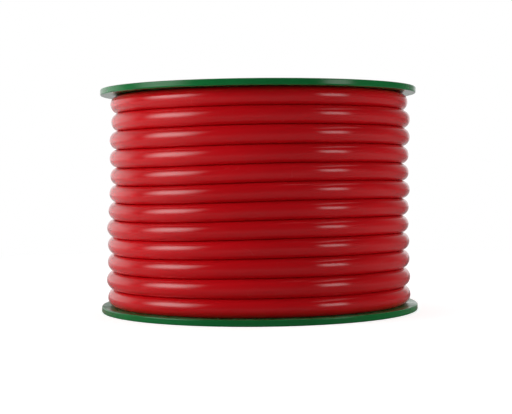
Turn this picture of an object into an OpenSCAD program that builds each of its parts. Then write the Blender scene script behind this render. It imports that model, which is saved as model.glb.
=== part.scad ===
// Red air hose wound on a flanged reel.
// Two identical moulded flanges are clamped on a barrel tube by four long bolts, and a spindle tube
// runs through their hubs. The hose lies on the barrel in side by side turns, layer over layer.
// The reel stands on one flange: origin at the middle of its underside, +Z along the reel's axis.

/* [Hose] */
// Outside diameter of the hose
hose_od = 12; // [9:0.5:14]
// Bore of the hose
hose_bore = 8; // [5:0.5:8.5]
// Turns laid side by side in each layer
turns = 12; // [9:1:14]
// Layers wound on the barrel
layers = 4; // [2:1:5]
// Gap between neighbouring turns
turn_gap = 0.1; // [0.05:0.05:0.5]
// Gap between one layer and the next, at mid height
layer_gap = 0.6; // [0.5:0.1:1.5]
// Gap between the barrel and the first layer
barrel_gap = 0.1; // [0.05:0.05:0.5]
// How much further out the lowest outer turn lies than the highest
coil_flare = 3; // [0:0.5:3.5]
// How far the middle turns rise across the reel's front
front_rise = 2.9; // [0:0.1:3.5]
// Length of the straight free end past the last wound stretch
free_end_l = 24; // [12:1:26]

/* [Flanges] */
// How far the flange reaches past the widest turn
freeboard = 4.6; // [4:0.2:12]
// Thickness of the flange at its rim
rim_t = 4.3; // [3.6:0.1:7]
// Width of the thick band at the rim
rim_w = 7; // [6:0.5:10]
// Rounding of the rim's corners
rim_round = 0.9; // [0.3:0.1:1.5]
// Thickness of the flange between rim and hub
web_t = 2.6; // [2:0.1:3]
// Number of stiffening ribs on the outer face
outer_ribs = 16; // [8:8:32]
// Thickness of each rib
rib_w = 2.2; // [1.5:0.1:4]
// How far ribs and hub stay below the rim's plane
face_recess = 0.4; // [0.2:0.1:0.8]
// Diameter of the hole that takes tie wire, near the rim
tie_hole_d = 2.6; // [1.5:0.1:3.5]
// Distance from the rim to the centre of a tie hole
tie_hole_edge = 4; // [3:0.1:4.5]
// Direction of the line of tie holes, anticlockwise from +X
tie_angle = 38.5; // [0:0.5:50]

/* [Hub and barrel] */
// Outside diameter of the barrel tube
barrel_od = 108; // [104:1:140]
// Wall of the barrel tube
barrel_wall = 4; // [2:0.5:4.5]
// Height of the spigots, bosses and hub above the flange's inner face
boss_h = 12.2; // [11.5:0.1:16]
// Wall of the ring that centres the barrel
spigot_wall = 2.4; // [1.5:0.1:3]
// Clearance all round between spigot and barrel
spigot_clear = 0.15; // [0.1:0.05:0.4]
// Bore of the spindle tube
spindle_bore = 32; // [25:0.5:34]
// Wall of the spindle tube
spindle_wall = 3; // [1.5:0.5:4]
// Wall of the hub round the spindle tube
hub_wall = 4; // [2.5:0.5:5]
// Thickness of the lip that traps the spindle tube
lip_t = 2.2; // [1.6:0.1:3]
// How far the lip stands back from the spindle bore
lip_clear = 0.5; // [0.2:0.1:1]
// Clearance all round between the spindle tube and its seat
seat_clear = 0.1; // [0.05:0.05:0.3]
// Diameter of the drive hole
drive_hole_d = 10.4; // [8:0.2:11]
// Distance of drive holes and bolts from the axis
bolt_circle_r = 36; // [35:0.5:37]
// Wall of the boss round a drive hole
drive_boss_wall = 3; // [2:0.5:3.5]

/* [Bolts] */
// Diameter of the tie bolts
bolt_d = 6; // [4:0.5:7]
// Width across flats of bolt heads and nuts
hex_af = 10; // [9:0.5:11]
// Height of a bolt head
head_h = 4; // [3:0.5:6]
// Height of a nut
nut_h = 5.2; // [4:0.2:6.5]
// Length of bolt that stands past the nut
thread_out = 3.8; // [1:0.1:4.2]
// Chamfer on the tip of a bolt
tip_chamfer = 0.8; // [0.4:0.1:1]
// Outside diameter of a washer
washer_od = 12; // [11:0.5:13]
// Thickness of a washer
washer_t = 1.6; // [1:0.1:2]
// Diameter of the pocket that hides a head or nut
pocket_d = 15; // [14:0.5:16]
// Floor left under a pocket
pocket_floor = 3.5; // [2.5:0.1:4]
// Wall of the boss round a pocket
pocket_wall = 2.5; // [1.5:0.5:3]

/* [End tape] */
// Width of the tape, along the hose
tape_w = 25; // [15:1:28]
// Turns that the tape holds down
tape_turns = 3; // [2:1:6]
// Thickness of the tape
tape_t = 0.4; // [0.2:0.1:0.6]

/* [Hidden] */

// Small overlap that joins solids of one piece, and overshoot of cutters
eps = 0.5;
bolt_clear = 0.4;
thread_clear = 0.05;
round_fn = 96;

// Coil
turn_pitch = hose_od + turn_gap;
layer_pitch = hose_od + layer_gap;
traverse = turns * turn_pitch;
inner_r = barrel_od / 2 + barrel_gap + hose_od / 2;
outer_r = inner_r + (layers - 1) * layer_pitch;
low_face = rim_t;
high_face = rim_t + traverse;
overall_h = traverse + 2 * rim_t;
low_turn = low_face + turn_pitch / 2;
high_turn = high_face - turn_pitch / 2;

// Flange
flange_r = outer_r + coil_flare / 2 + hose_od / 2 + freeboard;
spindle_od = spindle_bore + 2 * spindle_wall;
seat_r = spindle_od / 2 + seat_clear;
hub_r = seat_r + hub_wall;
lip_r = spindle_bore / 2 + lip_clear;
spigot_r = barrel_od / 2 - barrel_wall - spigot_clear;
boss_top = rim_t + boss_h;
pocket_depth = boss_top - pocket_floor;
tie_hole_r = flange_r - tie_hole_edge;
spindle_end = face_recess + lip_t;

// Bolts
bolt_angles = [for (i = [0:3]) tie_angle + 45 + 90 * i];
head_seat = overall_h - pocket_depth + washer_t;
nut_seat = pocket_depth - washer_t;
bolt_tip = nut_seat - nut_h - thread_out;
hex_face_d = 0.95 * hex_af;

// Rings in each wound turn, sides of the tube, and the directions of the winding's events: where the
// outer layer comes up from the layer below, how far it takes to climb and to step from one turn to
// the next, where the free end leaves the coil, and the middle of the reel's front
rings = 24;
sides = 6;
climb_az = 110;
climb_angle = 55;
step_angle = 55;
leave_az = 26;
front_az = 270;
core_gap = 0.3;
pocket_gap = 0.4;

// S curve from 0 to 1
function ease(x) = let (t = min(1, max(0, x))) t * t * (3 - 2 * t);

// Radius of the outer layer's centre line at height z
function lay_r(z) = outer_r + coil_flare * (0.5 - (z - low_turn) / (high_turn - low_turn));

// How far a wound turn lies below (-0.5) or above (0.5) its mean height, at x degrees past the front
function swing(x) = (ease((x + 55) / 80) - 0.5) * (1 - ease(-(x + 60) / 40) - 0.7 * ease((x - 45) / 45));

// Height of the outer layer's centre line after a degrees of winding: one long rise across the front,
// least next to the flanges, and one step up in the last degrees of each turn
function lay_z(a) = let (
        n = floor(a / 360),
        rest = a - 360 * n,
        share = ease((rest - 360 + step_angle) / step_angle),
        rise = front_rise * sin(180 * (n + 0.5) / turns))
    low_turn + turn_pitch * (n + share) + rise * swing(climb_az + rest - front_az) * (1 - share);

function lay_radius(a) = let (r_out = lay_r(lay_z(a)))
    r_out - layer_pitch * (1 - ease(a / climb_angle));

function lay_point(a) = let (r = lay_radius(a), az = climb_az + a)
    [r * cos(az), r * sin(az), lay_z(a)];

// Centre line: a straight start out of the coil below, the wound turns, a straight end
wound_angle = 360 * turns - (climb_az - leave_az);
along_start = [-sin(climb_az), cos(climb_az), 0];
along_end = [-sin(leave_az), cos(leave_az), 0];
wound_start = lay_point(0);
leave_point = lay_point(wound_angle);
wound_end = leave_point + hose_od * along_end;
ring_step = 360 / rings;
start_rings = ceil(1.2 * hose_od / (inner_r * PI / 180) / ring_step);
centre_line = concat(
    [wound_start, wound_start + hose_od * along_start],
    [for (k = [start_rings:floor((wound_angle - ring_step / 2) / ring_step)]) lay_point(k * ring_step)],
    [leave_point, wound_end]);

function unit(v) = v / norm(v);

function along(line, k) = k == 0 ? unit(line[1] - line[0])
    : k == len(line) - 1 ? unit(line[k] - line[k - 1])
    : unit(unit(line[k + 1] - line[k]) + unit(line[k] - line[k - 1]));

// One ring of the tube, with a corner pointing away from the reel's axis and flats to its neighbours
function ring(line, k, r) = let (
        c = line[k],
        t = along(line, k),
        out = unit([c[0], c[1], 0]),
        u = unit(out - (out * t) * t),
        v = cross(t, u))
    [for (i = [0:sides - 1]) c + r * (cos(360 * i / sides) * u + sin(360 * i / sides) * v)];

function tube_faces(n) = concat(
    [for (i = [1:sides - 2]) [0, i, i + 1]],
    [for (k = [0:n - 2], i = [0:sides - 1])
        let (j = (i + 1) % sides) [k * sides + i, (k + 1) * sides + i, k * sides + j]],
    [for (k = [0:n - 2], i = [0:sides - 1])
        let (j = (i + 1) % sides) [k * sides + j, (k + 1) * sides + i, (k + 1) * sides + j]],
    [for (i = [1:sides - 2]) [(n - 1) * sides, (n - 1) * sides + i + 1, (n - 1) * sides + i]]);

// Distance from a point to a stretch between two others
function to_stretch(p, a, b) = let (
        d = b - a,
        s = min(1, max(0, (p - a) * d / (d * d))))
    norm(p - a - s * d);

// Least gap between a tube and its own next turn, from each corner to the next turn's edges
function self_gap(points, n) = min([for (k = [1:n - rings - 2], i = [0:sides - 1])
    min([for (m = [k + rings - 2:min(k + rings + 2, n - 2)], j = [0:sides - 1])
        to_stretch(points[k * sides + i], points[m * sides + j], points[(m + 1) * sides + j])])]);

module ring_solid(r_out, r_in, h) {
    difference() {
        cylinder(r = r_out, h = h, $fn = round_fn);
        translate([0, 0, -eps]) cylinder(r = r_in, h = h + 2 * eps, $fn = round_fn);
    }
}

module round_bar(w, h, r) {
    translate([r, 0]) square([w - 2 * r, h]);
    translate([0, r]) square([w, h - 2 * r]);
    for (x = [r, w - r], y = [r, h - r]) translate([x, y]) circle(r = r, $fn = 32);
}

module at_bolts() {
    for (i = [0:3]) rotate(45 + 90 * i) translate([bolt_circle_r, 0, 0]) children();
}

module at_drive_holes() {
    for (i = [0:1]) rotate(180 * i) translate([bolt_circle_r, 0, 0]) children();
}

module flange_section() {
    translate([flange_r - rim_w, 0]) round_bar(rim_w, rim_t, rim_round);
    translate([lip_r, rim_t - web_t]) square([flange_r - rim_w / 2 - lip_r, web_t]);
    translate([lip_r, face_recess]) square([hub_r - lip_r, boss_top - face_recess]);
    translate([spigot_r - spigot_wall, rim_t - eps]) square([spigot_wall, boss_h + eps]);
    translate([spigot_r - spigot_wall, face_recess]) square([spigot_wall, rim_t - face_recess]);
}

// A flange with its outer face down, its tie holes and drive holes on the X axis
module flange() {
    rib_h = rim_t - web_t - face_recess + eps;
    inner_rib_l = spigot_r - hub_r - spigot_wall + 2 * eps;
    difference() {
        union() {
            rotate_extrude($fn = round_fn) flange_section();
            for (i = [0:outer_ribs - 1]) rotate(360 / outer_ribs * (i + 0.5))
                translate([hub_r - eps, -rib_w / 2, face_recess])
                    cube([flange_r - rim_w - hub_r + 2 * eps, rib_w, rib_h]);
            for (i = [0:7]) rotate(45 * i)
                translate([hub_r - eps, -rib_w / 2, rim_t - eps])
                    cube([inner_rib_l, rib_w, boss_h - lip_t + eps]);
            at_bolts() translate([0, 0, face_recess])
                cylinder(d = pocket_d + 2 * pocket_wall, h = boss_top - face_recess, $fn = 48);
            at_drive_holes() translate([0, 0, face_recess])
                cylinder(d = drive_hole_d + 2 * drive_boss_wall, h = boss_top - face_recess, $fn = 48);
        }
        translate([0, 0, spindle_end]) cylinder(r = seat_r, h = overall_h, $fn = round_fn);
        at_bolts() {
            translate([0, 0, -eps]) cylinder(d = pocket_d, h = pocket_depth + eps, $fn = 48);
            translate([0, 0, -eps]) cylinder(d = bolt_d + bolt_clear, h = boss_top + 2 * eps, $fn = 48);
        }
        at_drive_holes() translate([0, 0, -eps]) cylinder(d = drive_hole_d, h = boss_top + 2 * eps, $fn = 48);
        for (i = [0:1]) rotate(180 * i) translate([tie_hole_r, 0, -eps])
            cylinder(d = tie_hole_d, h = rim_t + 2 * eps, $fn = 24);
    }
}

module bottom_flange() {
    color([0.06, 0.38, 0.18]) rotate(tie_angle) flange();
}

module top_flange() {
    color([0.06, 0.38, 0.18]) translate([0, 0, overall_h]) rotate(tie_angle) rotate([180, 0, 0]) flange();
}

module barrel() {
    color([0.45, 0.45, 0.43]) translate([0, 0, low_face])
        ring_solid(barrel_od / 2, barrel_od / 2 - barrel_wall, traverse);
}

module spindle_tube() {
    color([0.72, 0.72, 0.7]) translate([0, 0, spindle_end])
        ring_solid(spindle_od / 2, spindle_bore / 2, overall_h - 2 * spindle_end);
}

module at_bolt(i) {
    rotate(bolt_angles[i]) translate([bolt_circle_r, 0, 0]) children();
}

// The cone that turns a hexagon's corners off at its upper end, at 30 degrees to its face
module corner_cone(h) {
    cylinder(d1 = hex_face_d + 2 * h * tan(60), d2 = hex_face_d, h = h, $fn = 48);
}

module hexagon(h) {
    intersection() {
        cylinder(d = hex_af / cos(30), h = h, $fn = 6);
        corner_cone(h);
    }
}

module tie_bolt(i) {
    color([0.7, 0.7, 0.68]) at_bolt(i) {
        translate([0, 0, bolt_tip])
            cylinder(d1 = bolt_d - 2 * tip_chamfer, d2 = bolt_d, h = tip_chamfer, $fn = 32);
        translate([0, 0, bolt_tip + tip_chamfer])
            cylinder(d = bolt_d, h = head_seat + eps - bolt_tip - tip_chamfer, $fn = 32);
        translate([0, 0, head_seat]) hexagon(head_h);
    }
}

module washer(i, z) {
    color([0.7, 0.7, 0.68]) at_bolt(i) translate([0, 0, z])
        ring_solid(washer_od / 2, bolt_d / 2 + bolt_clear / 2, washer_t);
}

module head_washer(i) {
    washer(i, head_seat - washer_t);
}

module nut_washer(i) {
    washer(i, nut_seat);
}

module nut(i) {
    color([0.7, 0.7, 0.68]) at_bolt(i) translate([0, 0, nut_seat - nut_h]) difference() {
        intersection() {
            hexagon(nut_h);
            translate([0, 0, nut_h]) mirror([0, 0, 1]) corner_cone(nut_h);
        }
        translate([0, 0, -eps]) cylinder(r = bolt_d / 2 + thread_clear, h = nut_h + 2 * eps, $fn = 32);
    }
}

// Radius of the inner layers' outside at height z, just inside the outer layer's flat stretches
function core_r(z) = (lay_r(z) - hose_od / 2) * cos(180 / rings) - core_gap;

// The layers under the outer one, as one ring, with a pocket where the hose climbs out of them
module hose_inner_layers() {
    core_in = barrel_od / 2 + barrel_gap;
    pocket_in = lay_r(low_turn) - layer_pitch - hose_od / 2 - pocket_gap;
    color([0.62, 0.04, 0.05]) difference() {
        rotate_extrude($fn = round_fn) polygon([
            [core_in, low_face], [core_r(low_face), low_face],
            [core_r(high_face), high_face], [core_in, high_face]]);
        rotate_extrude(angle = climb_angle, start = climb_az, $fn = round_fn)
            translate([pocket_in, low_face - eps]) square([flange_r - pocket_in, hose_od + pocket_gap + eps]);
    }
}

// The visible layer: one unbroken tube through all its turns
module hose_outer_layer() {
    n = len(centre_line);
    points = [for (k = [0:n - 1]) each ring(centre_line, k, hose_od / 2)];
    echo(outer_layer_rings = n, least_gap_mm = self_gap(points, n));
    color([0.72, 0.05, 0.06]) polyhedron(points = points, faces = tube_faces(n), convexity = 20);
}

module hose_free_end() {
    color([0.72, 0.05, 0.06]) translate(wound_end) rotate([0, 0, leave_az + 90]) rotate([0, 90, 0])
        difference() {
            cylinder(d = hose_od, h = free_end_l, $fn = 48);
            translate([0, 0, -eps]) cylinder(d = hose_bore, h = free_end_l + 2 * eps, $fn = 48);
        }
}

// Adhesive tape across the last turns, just before the free end
module end_tape() {
    tape_angle = tape_w / (outer_r + hose_od / 2) * 180 / PI;
    z_low = high_turn - (tape_turns - 1) * turn_pitch - hose_od / 4;
    z_high = high_turn + hose_od / 4;
    gap = 0.15;
    r_low = lay_r(z_low) + hose_od / 2 + gap;
    r_high = lay_r(z_high) + hose_od / 2 + gap;
    color([0.86, 0.83, 0.74])
        rotate_extrude(angle = tape_angle, start = leave_az - tape_angle, $fn = round_fn)
            polygon([[r_low, z_low], [r_low + tape_t, z_low], [r_high + tape_t, z_high], [r_high, z_high]]);
}

bottom_flange();
top_flange();
barrel();
spindle_tube();
tie_bolt(0);  // tie_bolt_1
tie_bolt(1);  // tie_bolt_2
tie_bolt(2);  // tie_bolt_3
tie_bolt(3);  // tie_bolt_4
head_washer(0);  // head_washer_1
head_washer(1);  // head_washer_2
head_washer(2);  // head_washer_3
head_washer(3);  // head_washer_4
nut_washer(0);  // nut_washer_1
nut_washer(1);  // nut_washer_2
nut_washer(2);  // nut_washer_3
nut_washer(3);  // nut_washer_4
nut(0);  // nut_1
nut(1);  // nut_2
nut(2);  // nut_3
nut(3);  // nut_4
hose_inner_layers();
hose_outer_layer();
hose_free_end();
end_tape();
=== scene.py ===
import math

import bmesh
import bpy
from mathutils import Matrix, Vector


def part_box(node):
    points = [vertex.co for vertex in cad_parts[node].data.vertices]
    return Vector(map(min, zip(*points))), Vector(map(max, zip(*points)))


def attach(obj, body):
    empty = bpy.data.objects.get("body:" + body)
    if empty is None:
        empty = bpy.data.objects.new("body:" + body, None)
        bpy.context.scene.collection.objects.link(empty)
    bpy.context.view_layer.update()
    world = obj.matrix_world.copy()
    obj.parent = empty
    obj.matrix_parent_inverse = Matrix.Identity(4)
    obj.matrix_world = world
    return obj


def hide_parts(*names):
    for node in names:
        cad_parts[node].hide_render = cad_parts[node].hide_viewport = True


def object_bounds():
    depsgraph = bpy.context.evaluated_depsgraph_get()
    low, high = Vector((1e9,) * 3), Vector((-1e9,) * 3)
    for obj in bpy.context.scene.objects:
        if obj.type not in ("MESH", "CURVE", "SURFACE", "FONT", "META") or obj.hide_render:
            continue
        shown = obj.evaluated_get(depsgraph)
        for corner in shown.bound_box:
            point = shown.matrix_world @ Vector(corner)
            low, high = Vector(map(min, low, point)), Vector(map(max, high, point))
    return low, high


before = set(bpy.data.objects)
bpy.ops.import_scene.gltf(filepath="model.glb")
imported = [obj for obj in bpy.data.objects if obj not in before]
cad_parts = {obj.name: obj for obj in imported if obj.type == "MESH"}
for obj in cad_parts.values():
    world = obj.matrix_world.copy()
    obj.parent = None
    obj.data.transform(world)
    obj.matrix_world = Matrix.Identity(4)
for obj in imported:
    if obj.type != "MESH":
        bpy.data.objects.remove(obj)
cad_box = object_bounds()


# ---- Camera ----
# A long lens stands a little above the reel's middle, about four reel widths away, and looks level
# at it. The reel stands a touch low on its left, so the camera leans by half a degree.
IMAGE_WIDTH = 512
FOCAL_PIXELS = 1285.8
reel_height = cad_box[1][2] - cad_box[0][2]
camera_distance = 0.9028
camera_height = reel_height / 2 + 0.0174
camera_lean = math.radians(0.528)
shift_right_pixels = -2.6
shift_up_pixels = -32.8

camera_data = bpy.data.cameras.new("camera")
camera_data.sensor_width = 36
camera_data.lens = FOCAL_PIXELS / IMAGE_WIDTH * camera_data.sensor_width
camera_data.shift_x = shift_right_pixels / IMAGE_WIDTH
camera_data.shift_y = shift_up_pixels / IMAGE_WIDTH
camera = bpy.data.objects.new("camera", camera_data)
bpy.context.scene.collection.objects.link(camera)
camera.location = (0, -camera_distance, camera_height)
level_view = Matrix.Rotation(math.pi / 2, 4, "X")
camera.rotation_euler = (Matrix.Rotation(camera_lean, 4, "Y") @ level_view).to_euler()
bpy.context.scene.camera = camera


# ---- Hose ----
# One length of red polyurethane hose, 12 mm outside and 8 mm inside, extruded and then wound on the
# barrel in four layers of nearly twelve turns. The outer turns step from one to the next at the back
# of the reel, and where they press on one another they are a little flat.
hose_radius = 0.006
hose_bore_radius = 0.004
bore_seen = 0.03
rim_thickness = 0.0043
low_face = rim_thickness
high_face = reel_height - rim_thickness
face_gap = 0.00005

turns = 12
layers = 4
turn_pitch = (high_face - low_face) / turns
layer_pitch = 0.0128
barrel_radius = 0.054
barrel_gap = 0.0001
inner_radius = barrel_radius + barrel_gap + hose_radius
coil_flare = 0.00175
low_turn = low_face + turn_pitch / 2
high_turn = high_face - turn_pitch / 2

# Where each layer starts, from the inmost, and where the last one leaves the coil, in degrees from
# the reel's right-hand side round by its back.
layer_starts = (80, 330, 220, 110)
leave_azimuth = 26
front_azimuth = 270
climb_angle = 55
step_angle = 55
outer_degrees = 360 * (turns - 1) + (leave_azimuth - layer_starts[-1]) % 360
free_end_length = 0.036
end_tuck = 0.0012
end_tuck_angle = 28
end_cover = 20
end_rounding = 0.0002
free_end_rings = 12
rings_hidden = 36
rings_outer = 96
hose_sides = 32
pressed_width = 1.02
pressed_gap = 0.00002
relax_angle = 25

# Across the front an outer turn swings from low to high. The swing and the stretches where it sets in
# and settles again are placed in degrees past the front.
front_rise = 0.0029
swing_from = -55
swing_over = 80
set_in_by = -60
set_in_over = 40
settle_from = 45
settle_over = 45
settled_share = 0.7

# The outer turns, counted from the lowest, don't lie quite alike: each stands a little further out
# or in, off to one side, or up or down, in millimetres.
turn_out = (0, 0.5, 0.1, 0.2, 0.35, 0.1, 0.3, -0.2, 0.2, 0.75, 0.4, 0)
turn_side = (-0.3, -0.7, -0.45, -0.4, -0.85, -0.2, 0.6, 0.65, 0.5, 1.0, 1.7, 0.7)
turn_up = (-0.1, 0, 0.25, 0.25, -0.1, -0.4, -0.55, -0.75, -0.75, -0.3, 0, 0)


def ease(x):
    """An S curve from 0 to 1."""
    t = min(1.0, max(0.0, x))
    return t * t * (3 - 2 * t)


def polar(radius, azimuth, z):
    """A point at an azimuth, counted in degrees from the reel's right-hand side round by its back."""
    angle = math.radians(azimuth)
    return Vector((radius * math.cos(angle), radius * math.sin(angle), z))


def layer_radius(layer, z):
    """Radius of a layer's centre line at height z. The outer layers lean out at the bottom."""
    share = layer / (layers - 1)
    lean = 0.5 - (z - low_turn) / (high_turn - low_turn)
    return inner_radius + layer * layer_pitch + share * coil_flare * lean


def turn_and_step(wound):
    """The turn that a point lies in, and how far it has stepped on to the next one."""
    turn = min(math.floor(wound / 360), turns - 1)
    return turn, ease((wound - 360 * turn - 360 + step_angle) / step_angle)


def of_turn(values, turn, step):
    """A turn's own value in metres, eased into the next turn's while the hose steps across."""
    after = values[min(turn + 1, turns - 1)]
    return (values[turn] + (after - values[turn]) * step) / 1000


def hidden_point(layer, wound):
    """A hidden layer's centre line. It comes out from the layer inside it, and winds up or down."""
    turn, step = turn_and_step(wound)
    travel = turn_pitch * (turn + step)
    z = low_turn + travel if layer % 2 else high_turn - travel
    climb = layer_pitch * (1 - ease(wound / climb_angle)) if layer else 0
    return polar(layer_radius(layer, z) - climb, layer_starts[layer] + wound, z)


def outer_point(wound):
    """The outer layer's centre line: one long rise across the front, most in the middle turns, and
    a last turn that tucks in under the tape."""
    turn, step = turn_and_step(wound)
    azimuth = layer_starts[-1] + wound
    past_front = azimuth - 360 * turn - front_azimuth
    swing = ease((past_front - swing_from) / swing_over) - 0.5
    settled = settled_share * ease((past_front - settle_from) / settle_over)
    swing *= 1 - ease((set_in_by - past_front) / set_in_over) - settled
    rise = front_rise * math.sin(math.pi * (turn + 0.5) / turns) * swing * (1 - step)
    z = low_turn + turn_pitch * (turn + step) + rise
    radius = layer_radius(layers - 1, z) - layer_pitch * (1 - ease(wound / climb_angle))
    radius += of_turn(turn_out, turn, step)
    radius += of_turn(turn_side, turn, step) * math.cos(math.radians(azimuth))
    radius -= end_tuck * ease((wound - outer_degrees + end_tuck_angle) / end_tuck_angle)
    return polar(radius, azimuth, z + of_turn(turn_up, turn, step))


def room_at(wound):
    """Half the way from a point of the outer layer down to the turn below, and up to the next. For
    end_cover degrees past the last turn's end, the free end counts as the next turn."""
    z = outer_point(wound).z
    below = outer_point(wound - 360).z if wound > 360 else z - turn_pitch
    above = outer_point(wound + 360).z if wound + 360 < outer_degrees + end_cover else z + turn_pitch
    return (z - below) / 2, (above - z) / 2


# The middle of each ring of the hose, and the room that the ring has below and above it.
hose_path = []
for layer in range(layers - 1):
    wound_degrees = 360 * (turns - 1) + (layer_starts[layer + 1] - layer_starts[layer]) % 360
    rings = round(wound_degrees / 360 * rings_hidden)
    hose_path += [hidden_point(layer, wound_degrees * k / rings) for k in range(rings)]
hose_room = [(turn_pitch / 2, turn_pitch / 2)] * len(hose_path)
rings_wound = round(outer_degrees / 360 * rings_outer)
hose_path += [outer_point(outer_degrees * k / rings_wound) for k in range(rings_wound + 1)]
hose_room += [room_at(outer_degrees * k / rings_wound) for k in range(rings_wound + 1)]
leave_point = hose_path[-1]
leave_direction = polar(1, leave_azimuth + 90, 0)
hose_path += [leave_point + leave_direction * free_end_length * k / free_end_rings
              for k in range(1, free_end_rings + 1)]
relax_rings = round(rings_outer * relax_angle / 360)
first_free_ring = len(hose_path) - free_end_rings
hose_room += hose_room[-1:] * free_end_rings


def add_ring(tube, place, k, along):
    """One ring of the hose, round at the free end and pressed flat against the turns beside it."""
    centre = hose_path[k]
    ahead = hose_path[min(k + 1, len(hose_path) - 1)] - hose_path[max(k - 1, 0)]
    ahead.normalize()
    outward = Vector((centre.x, centre.y, 0)).normalized()
    outward = (outward - ahead * outward.dot(ahead)).normalized()
    across = ahead.cross(outward)  # points down
    pressed = ease((first_free_ring - k) / relax_rings)
    room_below, room_above = hose_room[k]
    ring = []
    for side in range(hose_sides):
        angle = 2 * math.pi * side / hose_sides
        out = hose_radius * math.cos(angle)
        wide = hose_radius * math.sin(angle)
        room = room_below if wide > 0 else room_above
        flat = wide * pressed_width * max(1.0, room / hose_radius)
        flat = math.copysign(min(abs(flat), room - pressed_gap), wide)
        point = centre + out * outward + (wide + pressed * (flat - wide)) * across
        point.z = max(low_face + face_gap, min(high_face - face_gap, point.z))
        vert = tube.verts.new(point)
        vert[place] = (out, wide, along)
        ring.append(vert)
    return ring


def edges_among(shape, verts):
    """The edges that run between two of the given vertices."""
    kept = set(verts)
    return [edge for edge in shape.edges if edge.verts[0] in kept and edge.verts[1] in kept]


def only(kind, geometry):
    """The vertices, edges or faces among what an operator gives back."""
    return [item for item in geometry if isinstance(item, kind)]


def cut_end(tube, ring, centre, inward):
    """A square-cut end: the wall's face, and the bore as deep as it can be seen."""
    lip = bmesh.ops.extrude_edge_only(tube, edges=edges_among(tube, ring))["geom"]
    lip_verts = only(bmesh.types.BMVert, lip)
    for vert in lip_verts:
        vert.co = centre + (vert.co - centre) * hose_bore_radius / hose_radius
    bore = bmesh.ops.extrude_edge_only(tube, edges=edges_among(tube, lip_verts))["geom"]
    bore_verts = only(bmesh.types.BMVert, bore)
    bmesh.ops.translate(tube, verts=bore_verts, vec=inward * bore_seen)
    bore_floor = bmesh.ops.edgeloop_fill(tube, edges=edges_among(tube, bore_verts))["faces"]
    for face in only(bmesh.types.BMFace, lip + bore) + bore_floor:
        face.material_index = 1
    bmesh.ops.bevel(tube, geom=edges_among(tube, ring) + edges_among(tube, lip_verts),
                    offset=end_rounding, segments=2, affect="EDGES", profile=0.5, material=-1)


def finish_piece(name, shape, slot, *materials, crease=40):
    """The piece's mesh, smooth but for edges sharper than crease degrees, riding on the reel."""
    mesh = bpy.data.meshes.new(name)
    shape.to_mesh(mesh)
    shape.free()
    mesh.shade_smooth()
    mesh.set_sharp_from_angle(angle=math.radians(crease))
    for material in materials:
        mesh.materials.append(material)
    piece = bpy.data.objects.new(name, mesh)
    bpy.context.scene.collection.objects.link(piece)
    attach(piece, "root")
    return piece


def add_node(tree, kind, inputs=None, **settings):
    """A shader node. Its inputs are given plain values, or the outputs that feed them."""
    made = tree.nodes.new(kind)
    for setting, value in settings.items():
        setattr(made, setting, value)
    for socket, value in (inputs or {}).items():
        if isinstance(value, bpy.types.NodeSocket):
            tree.links.new(value, made.inputs[socket])
        else:
            made.inputs[socket].default_value = value
    return made


def add_fade(tree, value, low, high, to_low=0.0, to_high=1.0):
    """A soft change from to_low, where the value is low, to to_high, where it is high."""
    return add_node(tree, "ShaderNodeMapRange", {
        "Value": value, "From Min": low, "From Max": high, "To Min": to_low, "To Max": to_high,
    }, interpolation_type="SMOOTHSTEP").outputs["Result"]


# The Mix node's sockets for colours, which share their names with its other sockets.
MIX_FIRST, MIX_SECOND, MIX_RESULT = 6, 7, 2


def add_colours(tree, mask, first, second):
    """One colour where the mask is 0 and another where it is 1. Either may come from a node."""
    return add_node(tree, "ShaderNodeMix", {"Factor": mask, MIX_FIRST: first, MIX_SECOND: second},
                    data_type="RGBA").outputs[MIX_RESULT]


def add_maths(tree, operation, *values):
    """One step of arithmetic. Its values are plain, or the outputs that feed them."""
    return add_node(tree, "ShaderNodeMath", dict(enumerate(values)), operation=operation).outputs[0]


def add_noise(tree, place, scale, detail, **inputs):
    """A cloudy pattern, whose values lie about 0.5."""
    return add_node(tree, "ShaderNodeTexNoise", {
        "Vector": place, "Scale": scale, "Detail": detail, **inputs}).outputs["Fac"]


def add_stretch(tree, place, *scale):
    """The same place, but with patterns drawn out along every axis whose scale is small."""
    return add_node(tree, "ShaderNodeMapping", {"Vector": place, "Scale": scale}).outputs["Vector"]


def add_bump(tree, height, strength, distance, invert=False, **inputs):
    """The normal of a surface that a pattern raises by up to a distance in metres."""
    return add_node(tree, "ShaderNodeBump", {
        "Height": height, "Strength": strength, "Distance": distance, **inputs},
        invert=invert).outputs["Normal"]


def new_effect(name, takes, gives):
    """An empty node group. Takes names its inputs with their values, and None stands for a place.
    Gives names the masks that it puts out."""
    effect = bpy.data.node_groups.new(name, "ShaderNodeTree")
    for socket, value in takes.items():
        kind = "NodeSocketVector" if value is None else "NodeSocketFloat"
        made = effect.interface.new_socket(socket, in_out="INPUT", socket_type=kind)
        if value is not None:
            made.default_value = value
    for socket in gives:
        effect.interface.new_socket(socket, in_out="OUTPUT", socket_type="NodeSocketFloat")
    taken = effect.nodes.new("NodeGroupInput").outputs
    return effect, taken, effect.nodes.new("NodeGroupOutput").inputs


def new_material(name):
    """A material, its nodes and its shader's sockets."""
    material = bpy.data.materials.new(name)
    material.use_nodes = True
    return material, material.node_tree, material.node_tree.nodes["Principled BSDF"].inputs


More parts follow.
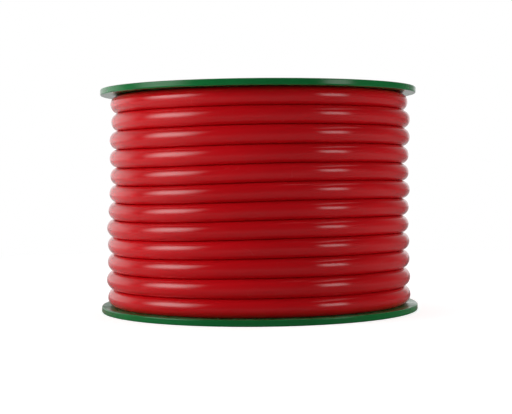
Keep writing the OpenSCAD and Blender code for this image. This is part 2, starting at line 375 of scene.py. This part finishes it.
def make_handling_marks():
    """Smudges where hands have been, and fine scratches inside some of them."""
    effect, takes, gives = new_effect(
        "handling_marks", {"Place": None, "Smudge Scale": 20.0, "Scratch Scale": 60.0},
        ("Smudges", "Scratches"))
    smudge = add_noise(effect, takes["Place"], takes["Smudge Scale"], 3.0, Roughness=0.55)
    smudges = add_fade(effect, smudge, 0.46, 0.7)
    line = add_noise(effect, takes["Place"], takes["Scratch Scale"], 1.0, Distortion=1.2)
    off_line = add_maths(effect, "ABSOLUTE", add_maths(effect, "SUBTRACT", line, 0.5))
    scratches = add_fade(effect, off_line, 0.0, 0.006, 1.0, 0.0)
    effect.links.new(smudges, gives["Smudges"])
    effect.links.new(add_maths(effect, "MULTIPLY", scratches, smudges), gives["Scratches"])
    return effect


handling_marks = make_handling_marks()


def make_red_polyurethane():
    """Glossy extruded hose: fine lines along it, a faint ripple, smudges and hair scratches."""
    material, tree, shader = new_material("red_polyurethane")
    place = add_node(tree, "ShaderNodeAttribute", attribute_name="hose_place").outputs["Vector"]
    lines = add_noise(tree, add_stretch(tree, place, 1.0, 1.0, 0.02), 900.0, 2.0)
    ripple = add_noise(tree, place, 55.0, 1.0)
    tint = add_noise(tree, place, 9.0, 2.0)
    marks = add_node(tree, "ShaderNodeGroup", {
        "Place": place, "Smudge Scale": 28.0, "Scratch Scale": 45.0}, node_tree=handling_marks)
    fresh = add_colours(tree, add_fade(tree, tint, 0.35, 0.65),
                        (0.61, 0.004, 0.008, 1), (0.67, 0.005, 0.010, 1))
    rubbed = add_maths(tree, "MULTIPLY", marks.outputs["Scratches"], 0.12)
    tree.links.new(add_colours(tree, rubbed, fresh, (0.75, 0.12, 0.12, 1)), shader["Base Color"])
    tree.links.new(add_fade(tree, marks.outputs["Smudges"], 0.0, 1.0, 0.13, 0.17), shader["Roughness"])
    rippled = add_bump(tree, ripple, 0.4, 0.0002)
    tree.links.new(add_bump(tree, lines, 0.2, 0.00002, Normal=rippled), shader["Normal"])
    return material


def make_cut_polyurethane():
    """The same plastic where a knife has cut it: paler and dull, with the blade's drag lines."""
    material, tree, shader = new_material("cut_polyurethane")
    shader["Roughness"].default_value = 0.5
    place = add_node(tree, "ShaderNodeTexCoord").outputs["Object"]
    drag = add_node(tree, "ShaderNodeTexWave", {
        "Vector": place, "Scale": 400.0, "Distortion": 3.0, "Detail": 2.0}, bands_direction="Z")
    tree.links.new(add_colours(tree, drag.outputs["Fac"], (0.60, 0.010, 0.014, 1),
                               (0.70, 0.035, 0.040, 1)), shader["Base Color"])
    tree.links.new(add_bump(tree, drag.outputs["Fac"], 0.4, 0.00005), shader["Normal"])
    return material


tube = bmesh.new()
place_on_hose = tube.verts.layers.float_vector.new("hose_place")
tube_rings = []
hose_length = 0.0
for k in range(len(hose_path)):
    if k:
        hose_length += (hose_path[k] - hose_path[k - 1]).length
    tube_rings.append(add_ring(tube, place_on_hose, k, hose_length))
for first, second in zip(tube_rings, tube_rings[1:]):
    for side in range(hose_sides):
        beside = (side + 1) % hose_sides
        tube.faces.new((first[side], first[beside], second[beside], second[side]))
cut_end(tube, tube_rings[0], hose_path[0], (hose_path[1] - hose_path[0]).normalized())
cut_end(tube, tube_rings[-1], hose_path[-1], -leave_direction)
bmesh.ops.recalc_face_normals(tube, faces=tube.faces)
hose = finish_piece("air_hose", tube, "hose_red", make_red_polyurethane(), make_cut_polyurethane())
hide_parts("hose_inner_layers", "hose_outer_layer", "hose_free_end")


# ---- End tape ----
# A strip of cream crepe paper tape, torn off a cutter with a toothed edge and pressed down by thumb
# over the last three turns, so that the hose's free end can't spring off the coil.
tape_width = 0.025
tape_thickness = 0.0002
tape_gap = 0.00008
tape_sag = 0.0009
tape_turns = 3
tape_overhang = 0.003
tape_tooth = 0.0004
tape_columns = 48
tape_rows = 60
tape_radius = layer_radius(layers - 1, high_turn) + hose_radius
tape_angle = math.degrees(tape_width / tape_radius)


def crest(turn, azimuth):
    """How far out and how high a turn's outermost point is, at an azimuth past the reel's right."""
    point = outer_point(360 * turn + (azimuth - layer_starts[-1]) % 360)
    return math.hypot(point.x, point.y) + hose_radius, point.z


def hose_reach(crests, z):
    """How far out the taped turns reach at a height. In a groove that none reaches into it is 0."""
    reach = []
    for radius, crest_z in crests:
        off_crest = (z - crest_z) / (hose_radius * pressed_width)
        if abs(off_crest) < 1:
            reach.append(radius - hose_radius * (1 - math.sqrt(1 - off_crest ** 2)))
    return max(reach, default=0.0)


def tape_point(azimuth, run):
    """A point of the tape's sticky side. Run goes up the tape, from one end to the other."""
    crests = [crest(turns - tape_turns + k, azimuth) for k in range(tape_turns)]
    low_z = crests[0][1] - tape_overhang
    z = low_z + run * (crests[-1][1] + tape_overhang - low_z)
    radius = hose_reach(crests, z)
    for below, above in zip(crests, crests[1:]):
        share = (z - below[1]) / (above[1] - below[1])
        if 0 < share < 1:
            sag = tape_sag * (1 - math.cos(2 * math.pi * share)) / 2
            radius = max(radius, below[0] + (above[0] - below[0]) * share - sag)
    return polar(radius + tape_gap, azimuth, z)


def make_crepe_paper():
    """Cream crepe paper: fine wrinkles across the strip, painted shade in their hollows, and a soft
    waxy face.
    """
    material, tree, shader = new_material("cream_crepe_paper")
    place = add_node(tree, "ShaderNodeUVMap", uv_map="tape_map").outputs["UV"]
    wrinkle = add_noise(tree, add_stretch(tree, place, 14.0, 110.0, 1.0), 1.0, 4.0, Roughness=0.6)
    stain = add_noise(tree, place, 3.0, 3.0)
    # Painted shade: the paper's colour is darker where the wrinkles dip and lighter on their crests.
    paper_with_painted_shade = add_colours(tree, wrinkle, (0.55, 0.47, 0.30, 1), (0.68, 0.60, 0.42, 1))
    stained = add_maths(tree, "MULTIPLY", add_fade(tree, stain, 0.5, 0.75), 0.35)
    tree.links.new(add_colours(tree, stained, paper_with_painted_shade, (0.42, 0.32, 0.18, 1)), shader["Base Color"])
    tree.links.new(add_fade(tree, wrinkle, 0.3, 0.7, 0.42, 0.62), shader["Roughness"])
    tree.links.new(add_bump(tree, wrinkle, 0.7, 0.0002), shader["Normal"])
    return material


strip = bmesh.new()
strip.loops.layers.uv.new("tape_map")
bmesh.ops.create_grid(strip, x_segments=tape_columns, y_segments=tape_rows, size=0.5, calc_uvs=True)
for vert in strip.verts:
    column = round((vert.co.x + 0.5) * tape_columns)
    run = vert.co.y + 0.5
    point = tape_point(leave_azimuth - tape_angle * (0.5 - vert.co.x), run)
    at_end = round(run * tape_rows) in (0, tape_rows)
    if at_end and column % 2:
        point.z += tape_tooth if run < 0.5 else -tape_tooth
    vert.co = point
bmesh.ops.recalc_face_normals(strip, faces=strip.faces)
tape = finish_piece("end_tape_strip", strip, "tape_cream", make_crepe_paper())
thickness = tape.modifiers.new("thickness", "SOLIDIFY")
thickness.thickness = tape_thickness
thickness.offset = 1
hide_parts("end_tape")


# ---- Flanges ----
# Two green discs moulded in one piece each, with ribs, a hub, bolt pockets and a thick rim. The
# plastic is glossy and finely grained, scuffed on its edges and dusty in patches where it faces up.
def make_settled_dust():
    """Fine grit that has settled on whatever faces up, more in some patches than in others."""
    effect, takes, gives = new_effect(
        "settled_dust", {"Place": None, "Patch Scale": 40.0, "Grit Scale": 2400.0}, ("Dust",))
    facing = add_node(effect, "ShaderNodeSeparateXYZ", {
        0: add_node(effect, "ShaderNodeNewGeometry").outputs["Normal"]})
    patch = add_noise(effect, takes["Place"], takes["Patch Scale"], 6.0, Roughness=0.7)
    grit = add_noise(effect, takes["Place"], takes["Grit Scale"], 2.0)
    level = add_fade(effect, facing.outputs["Z"], 0.6, 0.98)
    patches = add_fade(effect, patch, 0.3, 0.8)
    grains = add_fade(effect, grit, 0.4, 0.65, 0.35, 1.0)
    settled = add_maths(effect, "MULTIPLY", level, add_maths(effect, "MULTIPLY", patches, grains))
    effect.links.new(settled, gives["Dust"])
    return effect


def make_worn_edges():
    """Where edges are rubbed: the difference between a surface and the same surface rounded off."""
    effect, takes, gives = new_effect(
        "worn_edges", {"Place": None, "Reach": 0.0006, "Breaks Scale": 120.0}, ("Wear",))
    rounded = add_node(effect, "ShaderNodeBevel", {"Radius": takes["Reach"]}, samples=4)
    sharp = add_node(effect, "ShaderNodeNewGeometry")
    likeness = add_node(effect, "ShaderNodeVectorMath", {
        0: rounded.outputs["Normal"], 1: sharp.outputs["Normal"]}, operation="DOT_PRODUCT")
    edge = add_fade(effect, likeness.outputs["Value"], 0.8, 0.99, 1.0, 0.0)
    breaks = add_noise(effect, takes["Place"], takes["Breaks Scale"], 4.0)
    rubbed = add_fade(effect, breaks, 0.42, 0.62)
    effect.links.new(add_maths(effect, "MULTIPLY", edge, rubbed), gives["Wear"])
    return effect


settled_dust = make_settled_dust()
worn_edges = make_worn_edges()


def make_green_plastic():
    """Glossy moulded plastic, a little uneven in colour, with a fine grain."""
    material, tree, shader = new_material("green_moulded_plastic")
    shader["Specular IOR Level"].default_value = 0.36
    place = add_node(tree, "ShaderNodeTexCoord").outputs["Object"]
    flow = add_noise(tree, place, 14.0, 3.0)
    grain = add_noise(tree, place, 1400.0, 2.0)
    marks = add_node(tree, "ShaderNodeGroup", {
        "Place": place, "Smudge Scale": 22.0, "Scratch Scale": 35.0}, node_tree=handling_marks)
    dust = add_node(tree, "ShaderNodeGroup", {
        "Place": place, "Patch Scale": 45.0}, node_tree=settled_dust)
    wear = add_node(tree, "ShaderNodeGroup", {
        "Place": place, "Reach": 0.0006, "Breaks Scale": 130.0}, node_tree=worn_edges)
    moulded = add_colours(tree, add_fade(tree, flow, 0.35, 0.65),
                          (0.0045, 0.155, 0.034, 1), (0.0055, 0.185, 0.042, 1))
    scratched = add_maths(tree, "MULTIPLY", marks.outputs["Scratches"], 0.25)
    scuffed = add_maths(tree, "MULTIPLY", wear.outputs["Wear"], 0.35)
    lifted = add_colours(tree, add_maths(tree, "MAXIMUM", scratched, scuffed),
                         moulded, (0.10, 0.36, 0.18, 1))
    dusty = add_maths(tree, "MULTIPLY", dust.outputs["Dust"], 0.2)
    tree.links.new(add_colours(tree, dusty, lifted, (0.34, 0.36, 0.32, 1)), shader["Base Color"])
    dulled = add_maths(tree, "MAXIMUM", dust.outputs["Dust"], wear.outputs["Wear"])
    smudged = add_fade(tree, marks.outputs["Smudges"], 0.0, 1.0, 0.16, 0.21)
    tree.links.new(add_maths(tree, "MULTIPLY_ADD", dulled, 0.6, smudged), shader["Roughness"])
    tree.links.new(add_bump(tree, grain, 0.25, 0.00003), shader["Normal"])
    return material


green_plastic = make_green_plastic()
for name in ("bottom_flange", "top_flange"):
    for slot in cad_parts[name].material_slots:
        slot.material = green_plastic


# ---- Barrel ----
# A length of grey pipe, extruded from mixed regrind and sawn off, that the flanges' spigots fit
# into. The hose hides it, and the flanges close its ends.
def make_grey_pipe():
    """Dull regrind plastic, with streaks along the pipe, darker specks and handling marks."""
    material, tree, shader = new_material("grey_pipe_plastic")
    place = add_node(tree, "ShaderNodeTexCoord").outputs["Object"]
    streak = add_noise(tree, add_stretch(tree, place, 1.0, 1.0, 0.03), 160.0, 3.0)
    speck = add_noise(tree, place, 700.0, 1.0)
    marks = add_node(tree, "ShaderNodeGroup", {
        "Place": place, "Smudge Scale": 30.0, "Scratch Scale": 50.0}, node_tree=handling_marks)
    streaked = add_colours(tree, streak, (0.15, 0.15, 0.14, 1), (0.24, 0.24, 0.225, 1))
    specks = add_fade(tree, speck, 0.66, 0.72)
    specked = add_colours(tree, specks, streaked, (0.06, 0.06, 0.06, 1))
    scratches = add_maths(tree, "MULTIPLY", marks.outputs["Scratches"], 0.4)
    tree.links.new(add_colours(tree, scratches, specked, (0.38, 0.38, 0.36, 1)), shader["Base Color"])
    tree.links.new(add_fade(tree, marks.outputs["Smudges"], 0.0, 1.0, 0.48, 0.6), shader["Roughness"])
    tree.links.new(add_bump(tree, streak, 0.4, 0.0001), shader["Normal"])
    return material


grey_pipe = make_grey_pipe()
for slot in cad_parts["barrel"].material_slots:
    slot.material = grey_pipe


# ---- Spindle tube ----
# A drawn steel tube, zinc plated, that runs from hub to hub and takes the stand's spindle. It keeps
# its draw lines, and the spindles that it has turned on have scored it round.
def make_drawn_steel():
    """Cloudy plating on steel, with fine lines along the tube and darker scores round it."""
    material, tree, shader = new_material("drawn_steel")
    shader["Metallic"].default_value = 1
    place = add_node(tree, "ShaderNodeTexCoord").outputs["Object"]
    draw_line = add_noise(tree, add_stretch(tree, place, 1.0, 1.0, 0.02), 900.0, 2.0)
    score = add_noise(tree, add_stretch(tree, place, 0.03, 0.03, 1.0), 500.0, 2.0)
    cloud = add_noise(tree, place, 60.0, 4.0)
    plated = add_colours(tree, cloud, (0.50, 0.50, 0.50, 1), (0.66, 0.66, 0.64, 1))
    scored = add_fade(tree, score, 0.6, 0.68)
    tree.links.new(add_colours(tree, add_maths(tree, "MULTIPLY", scored, 0.6), plated,
                               (0.30, 0.29, 0.28, 1)), shader["Base Color"])
    tree.links.new(add_fade(tree, cloud, 0.3, 0.7, 0.28, 0.42), shader["Roughness"])
    lined = add_bump(tree, draw_line, 0.4, 0.00004)
    tree.links.new(add_bump(tree, scored, 0.4, 0.00003, invert=True, Normal=lined), shader["Normal"])
    return material


drawn_steel = make_drawn_steel()
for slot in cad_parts["spindle_tube"].material_slots:
    slot.material = drawn_steel


# ---- Bolts, washers and nuts ----
# Four long M6 hexagon bolts clamp the flanges on the barrel. Each has a washer under its head at the
# top, and a washer and a nut at the bottom, all zinc plated, in pockets deeper than they are.
bolt_radius = 0.003
thread_root_radius = 0.00245
thread_pitch = 0.001
thread_turns = 9
thread_steps = 24
thread_sunk = 0.0001
thread_foot = 0.44
thread_crest = 0.06
thread_runout = 0.0005
tip_chamfer = 0.0008
across_flats = 0.01
face_share = 0.95
chamfer_angle = 30
corner_radius = across_flats / 2 / math.cos(math.pi / 6)
face_radius = face_share * across_flats / 2
corner_drop = (corner_radius - face_radius) * math.tan(math.radians(chamfer_angle))
head_height = 0.004
nut_height = 0.0052
nut_bore_radius = 0.00305
nut_countersink = 0.0005
washer_radius = 0.006
washer_bore_radius = 0.0032
washer_thickness = 0.0016
washer_rounding = 0.0003
lathe_steps = 48
weld_distance = 1e-7


def turn_on_lathe(profile, closed):
    """A body of revolution about Z, from (radius, height) points along its outline. The outline is
    closed for a piece with a hole, and otherwise it starts and ends on the axis."""
    shape = bmesh.new()
    verts = [shape.verts.new((radius, 0, height)) for radius, height in profile]
    edges = [shape.edges.new(pair) for pair in zip(verts, verts[1:])]
    if closed:
        edges.append(shape.edges.new((verts[-1], verts[0])))
    bmesh.ops.spin(shape, geom=verts + edges, cent=(0, 0, 0), axis=(0, 0, 1), angle=2 * math.pi,
                   steps=lathe_steps, use_merge=True)
    bmesh.ops.remove_doubles(shape, verts=shape.verts, dist=weld_distance)
    return shape


def cut_hexagon(shape):
    """Six flats milled off a turned blank, each cut closed with a new face."""
    for side in range(6):
        facing = polar(1, 60 * side + 30, 0)
        cut = bmesh.ops.bisect_plane(shape, geom=shape.verts[:] + shape.edges[:] + shape.faces[:],
                                     plane_co=facing * across_flats / 2, plane_no=facing,
                                     clear_outer=True)["geom_cut"]
        bmesh.ops.edgeloop_fill(shape, edges=only(bmesh.types.BMEdge, cut))
    bmesh.ops.recalc_face_normals(shape, faces=shape.faces)


def add_thread(shape, low):
    """A ridge wound up the bolt from a height, one turn for each pitch. Its foot is sunk into the
    bolt, and how far the foot and the crest reach up and down is a share of the pitch."""
    foot_radius = thread_root_radius - thread_sunk
    outline = ((foot_radius, -thread_foot), (bolt_radius, -thread_crest),
               (bolt_radius, thread_crest), (foot_radius, thread_foot))
    ridge = [shape.verts.new((radius, 0, low + rise * thread_pitch)) for radius, rise in outline]
    bmesh.ops.spin(shape, geom=[shape.faces.new(ridge)], cent=(0, 0, 0), axis=(0, 0, 1),
                   dvec=(0, 0, thread_pitch / thread_steps), angle=2 * math.pi * thread_turns,
                   steps=thread_turns * thread_steps)


def make_zinc_plate():
    """Bright zinc with a bluish and yellowish cast, dusty, and rubbed to brighter metal on edges."""
    material, tree, shader = new_material("zinc_plate")
    shader["Metallic"].default_value = 1
    place = add_node(tree, "ShaderNodeTexCoord").outputs["Object"]
    cast = add_noise(tree, place, 180.0, 3.0)
    grain = add_noise(tree, place, 2500.0, 2.0)
    wear = add_node(tree, "ShaderNodeGroup", {
        "Place": place, "Reach": 0.0003, "Breaks Scale": 500.0}, node_tree=worn_edges)
    dust = add_node(tree, "ShaderNodeGroup", {
        "Place": place, "Patch Scale": 260.0}, node_tree=settled_dust)
    plated = add_colours(tree, add_fade(tree, cast, 0.35, 0.65),
                         (0.52, 0.56, 0.62, 1), (0.64, 0.62, 0.52, 1))
    rubbed = add_colours(tree, wear.outputs["Wear"], plated, (0.78, 0.77, 0.75, 1))
    dusty = add_maths(tree, "MULTIPLY", dust.outputs["Dust"], 0.3)
    tree.links.new(add_colours(tree, dusty, rubbed, (0.22, 0.21, 0.19, 1)), shader["Base Color"])
    tree.links.new(add_fade(tree, cast, 0.3, 0.7, 0.24, 0.38), shader["Roughness"])
    tree.links.new(add_bump(tree, grain, 0.3, 0.00002), shader["Normal"])
    return material


zinc_plate = make_zinc_plate()


def put_in_place(shape, node):
    """Turns a piece to face away from the reel's axis, and moves it on to its bolt's axis."""
    low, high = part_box(node)
    x, y = (low[0] + high[0]) / 2, (low[1] + high[1]) / 2
    bmesh.ops.rotate(shape, verts=shape.verts, cent=(0, 0, 0),
                     matrix=Matrix.Rotation(math.atan2(y, x), 3, "Z"))
    bmesh.ops.translate(shape, verts=shape.verts, vec=(x, y, 0))


def make_bolt(tip, top):
    """A hexagon bolt that hangs from its head, with a chamfered tip and a thread above it."""
    seat = top - head_height
    thread_top = tip + (thread_turns + 1) * thread_pitch
    shape = turn_on_lathe([
        (0, top), (face_radius, top), (corner_radius, top - corner_drop), (corner_radius, seat),
        (bolt_radius, seat), (bolt_radius, thread_top),
        (thread_root_radius, thread_top - thread_runout), (thread_root_radius, tip + tip_chamfer),
        (bolt_radius - tip_chamfer, tip), (0, tip)], closed=False)
    cut_hexagon(shape)
    add_thread(shape, tip + tip_chamfer)
    bmesh.ops.recalc_face_normals(shape, faces=shape.faces)
    return shape


def make_nut(low):
    """A hexagon nut, chamfered at both faces and countersunk at both mouths of its bore."""
    high = low + nut_height
    mouth_radius = nut_bore_radius + nut_countersink
    shape = turn_on_lathe([
        (mouth_radius, low), (face_radius, low), (corner_radius, low + corner_drop),
        (corner_radius, high - corner_drop), (face_radius, high), (mouth_radius, high),
        (nut_bore_radius, high - nut_countersink), (nut_bore_radius, low + nut_countersink)],
        closed=True)
    cut_hexagon(shape)
    return shape


def make_washer(low):
    """A punched washer with a rounded rim."""
    high = low + washer_thickness
    shape = turn_on_lathe([
        (washer_bore_radius, low), (washer_radius - washer_rounding, low),
        (washer_radius, low + washer_rounding), (washer_radius, high - washer_rounding),
        (washer_radius - washer_rounding, high), (washer_bore_radius, high)], closed=True)
    bmesh.ops.recalc_face_normals(shape, faces=shape.faces)
    return shape


for number in range(1, 5):
    bolt_node = f"tie_bolt_{number}"
    nut_node = f"nut_{number}"
    bolt_low, bolt_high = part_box(bolt_node)
    made = [(bolt_node, make_bolt(bolt_low[2], bolt_high[2])),
            (nut_node, make_nut(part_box(nut_node)[0][2]))]
    for washer_node in (f"head_washer_{number}", f"nut_washer_{number}"):
        made.append((washer_node, make_washer(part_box(washer_node)[0][2])))
    for node, shape in made:
        put_in_place(shape, node)
        piece = finish_piece(f"{node}_plated", shape, "fastener_zinc", zinc_plate, crease=25)
        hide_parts(node)


# ---- Light ----
# A plain studio: two big cloth-fronted lights left and right, a long one high on the right, two
# behind, low and high, and three wide fills that light the reel but leave no reflection.
def add_softbox(name, azimuth, elevation, distance, width, height, radiance, edge):
    """A light aimed at the reel's middle. Its azimuth is counted from the camera's side, to the
    right, and its cloth fades over the given share of each half towards its edges. Its energy
    gives a radiance of 1, which the level multiplies."""
    data = bpy.data.lights.new(name, "AREA")
    data.shape = "RECTANGLE"
    data.size = width
    data.size_y = height
    data.energy = math.pi * width * height
    data.use_nodes = True
    tree = data.node_tree
    place = add_node(tree, "ShaderNodeNewGeometry").outputs["Parametric"]
    split = add_node(tree, "ShaderNodeSeparateXYZ", {0: place})
    fades = []
    for axis in "XY":
        off_middle = add_maths(tree, "SUBTRACT", split.outputs[axis], 0.5)
        fades.append(add_fade(tree, add_maths(tree, "ABSOLUTE", off_middle),
                              0.5 * (1 - edge), 0.5, 1.0, 0.0))
    level = add_maths(tree, "MULTIPLY", add_maths(tree, "MULTIPLY", *fades), radiance)
    tree.links.new(level, tree.nodes["Emission"].inputs["Strength"])
    light = bpy.data.objects.new(name, data)
    bpy.context.scene.collection.objects.link(light)
    lift = math.radians(elevation)
    towards = polar(math.cos(lift), azimuth - 90, math.sin(lift))
    light.location = Vector((0, 0, reel_height / 2)) + towards * distance
    light.rotation_euler = towards.to_track_quat("Z", "Y").to_euler()
    return light


add_softbox("left_softbox", -70, 21.5, 1.2, 1.3, 1.26, 4.8, 0.9)
add_softbox("right_softbox", 55.5, 11, 1.2, 0.62, 0.7, 3.0, 0.7)
add_softbox("right_top_strip", 79, 50, 1.2, 1.0, 0.27, 0.9, 0.7)
add_softbox("back_left_softbox", -130, 3, 1.4, 1.5, 1.4, 0.6, 0.6)
add_softbox("back_top_softbox", 150, 74, 1.5, 1.5, 1.4, 2.0, 0.5)
for fill in (add_softbox("front_fill", 0, 8, 2.2, 5.0, 1.0, 0.46, 0.3),
             add_softbox("left_fill", -65, 10, 2.2, 2.0, 1.0, 1.3, 0.3),
             add_softbox("right_fill", 95, 10, 2.2, 2.4, 1.0, 2.5, 0.3)):
    fill.visible_glossy = False


# ---- Room ----
# A white backdrop hangs behind the reel. The rest of the room is dim, and dark beside the reel and
# behind the camera. The camera and anything clear see only the backdrop's white, and gloss sees it
# where it hangs.
backdrop_reach = (0.86, 0.98)
dim_reach = (0.1, 1.0)
dim_lean = -0.25
dim_light = (0.03, 0.42)

world = bpy.data.worlds.new("room")
bpy.context.scene.world = world
world.use_nodes = True
room_tree = world.node_tree
room_tree.nodes.clear()
direction = add_node(room_tree, "ShaderNodeSeparateXYZ", {
    0: add_node(room_tree, "ShaderNodeTexCoord").outputs["Generated"]})
leaned = add_maths(room_tree, "MULTIPLY_ADD", direction.outputs["X"], dim_lean, direction.outputs["Y"])
dim = add_node(room_tree, "ShaderNodeBackground", {
    "Color": add_fade(room_tree, leaned, *dim_reach, *dim_light)})
white = add_node(room_tree, "ShaderNodeBackground", {"Color": (1, 1, 1, 1)})
ray_in_room = add_node(room_tree, "ShaderNodeLightPath").outputs
at_backdrop = add_fade(room_tree, direction.outputs["Y"], *backdrop_reach)
gloss_sees = add_maths(room_tree, "MULTIPLY", ray_in_room["Is Glossy Ray"], at_backdrop)
seen = add_maths(room_tree, "MAXIMUM", ray_in_room["Is Camera Ray"], ray_in_room["Is Transmission Ray"])
background = add_node(room_tree, "ShaderNodeMixShader", {
    0: add_maths(room_tree, "MAXIMUM", seen, gloss_sees), 1: dim.outputs[0], 2: white.outputs[0]})
add_node(room_tree, "ShaderNodeOutputWorld", {0: background.outputs[0]})


# ---- Floor ----
# A plain pale table top, which keeps the reel's shadow and fades into the white backdrop. In gloss
# it is in shade before the reel and near it, and clear of the shade far behind. At the reel's sides
# it is paler with painted light, both in gloss and in the light that it throws back.
floor_size = 4
shadow_reach = 0.25
fade_reach = 0.7
right_side_share = 0.75
# The paleness at the sides is painted light: the table's colour there stands in for more light falling
# on it.
side_in_gloss = (0.5, 0.95)
painted_side_light_in_gloss = (0.3, 0.5)
side_in_bounce = (0.35, 0.9)
painted_side_light_in_bounce = (0.5, 0.92)
behind_lean = -0.35
clear_behind = (0.45, 1.0)
clear_from = (0.1, 0.5)
clear_share = 0.5

floor_material = bpy.data.materials.new("pale_table")
floor_material.use_nodes = True
table = floor_material.node_tree
table.nodes.clear()
on_table = add_node(table, "ShaderNodeTexCoord").outputs["Object"]
from_reel = add_node(table, "ShaderNodeVectorMath", {0: on_table}, operation="LENGTH").outputs["Value"]
glow = add_node(table, "ShaderNodeEmission", {"Strength": 0.74})
lit = add_node(table, "ShaderNodeBsdfDiffuse", {"Color": (0.6, 0.6, 0.6, 1)})
near = add_node(table, "ShaderNodeAddShader", {0: glow.outputs[0], 1: lit.outputs[0]})
far = add_node(table, "ShaderNodeEmission", {"Strength": 1.0})
shown = add_node(table, "ShaderNodeMixShader", {
    0: add_fade(table, from_reel, shadow_reach, fade_reach), 1: near.outputs[0], 2: far.outputs[0]})
heading = add_node(table, "ShaderNodeSeparateXYZ", {
    0: add_node(table, "ShaderNodeVectorMath", {0: on_table}, operation="NORMALIZE").outputs["Vector"]})
to_side = add_maths(table, "MAXIMUM", add_maths(table, "MULTIPLY", heading.outputs["X"], -1.0),
                    add_maths(table, "MULTIPLY", heading.outputs["X"], right_side_share))
# Painted light: what gloss sees of the table is paler towards the reel's sides.
shaded = add_node(table, "ShaderNodeBsdfDiffuse", {
    "Color": add_fade(table, to_side, *side_in_gloss, *painted_side_light_in_gloss)})
behind_reel = add_maths(table, "MULTIPLY_ADD", heading.outputs["X"], behind_lean, heading.outputs["Y"])
clear_of_shade = add_maths(table, "MULTIPLY", add_fade(table, behind_reel, *clear_behind),
                           add_fade(table, from_reel, *clear_from, 0.0, clear_share))
in_gloss = add_node(table, "ShaderNodeMixShader", {
    0: clear_of_shade, 1: shaded.outputs[0], 2: shown.outputs[0]})
# Painted light: the table's colour is paler towards the reel's sides, so it throws more light back
# there.
bounced = add_node(table, "ShaderNodeBsdfDiffuse", {
    "Color": add_fade(table, to_side, *side_in_bounce, *painted_side_light_in_bounce)})
ray_on_table = add_node(table, "ShaderNodeLightPath").outputs
unseen = add_node(table, "ShaderNodeMixShader", {
    0: ray_on_table["Is Glossy Ray"], 1: bounced.outputs[0], 2: in_gloss.outputs[0]})
surface = add_node(table, "ShaderNodeMixShader", {
    0: ray_on_table["Is Camera Ray"], 1: unseen.outputs[0], 2: shown.outputs[0]})
add_node(table, "ShaderNodeOutputMaterial", {0: surface.outputs[0]})

ground = bmesh.new()
bmesh.ops.create_grid(ground, x_segments=1, y_segments=1, size=floor_size)
floor_mesh = bpy.data.meshes.new("floor")
ground.to_mesh(floor_mesh)
ground.free()
floor_mesh.materials.append(floor_material)
floor = bpy.data.objects.new("floor", floor_mesh)
bpy.context.scene.collection.objects.link(floor)

bpy.context.scene.view_settings.view_transform = "Standard"
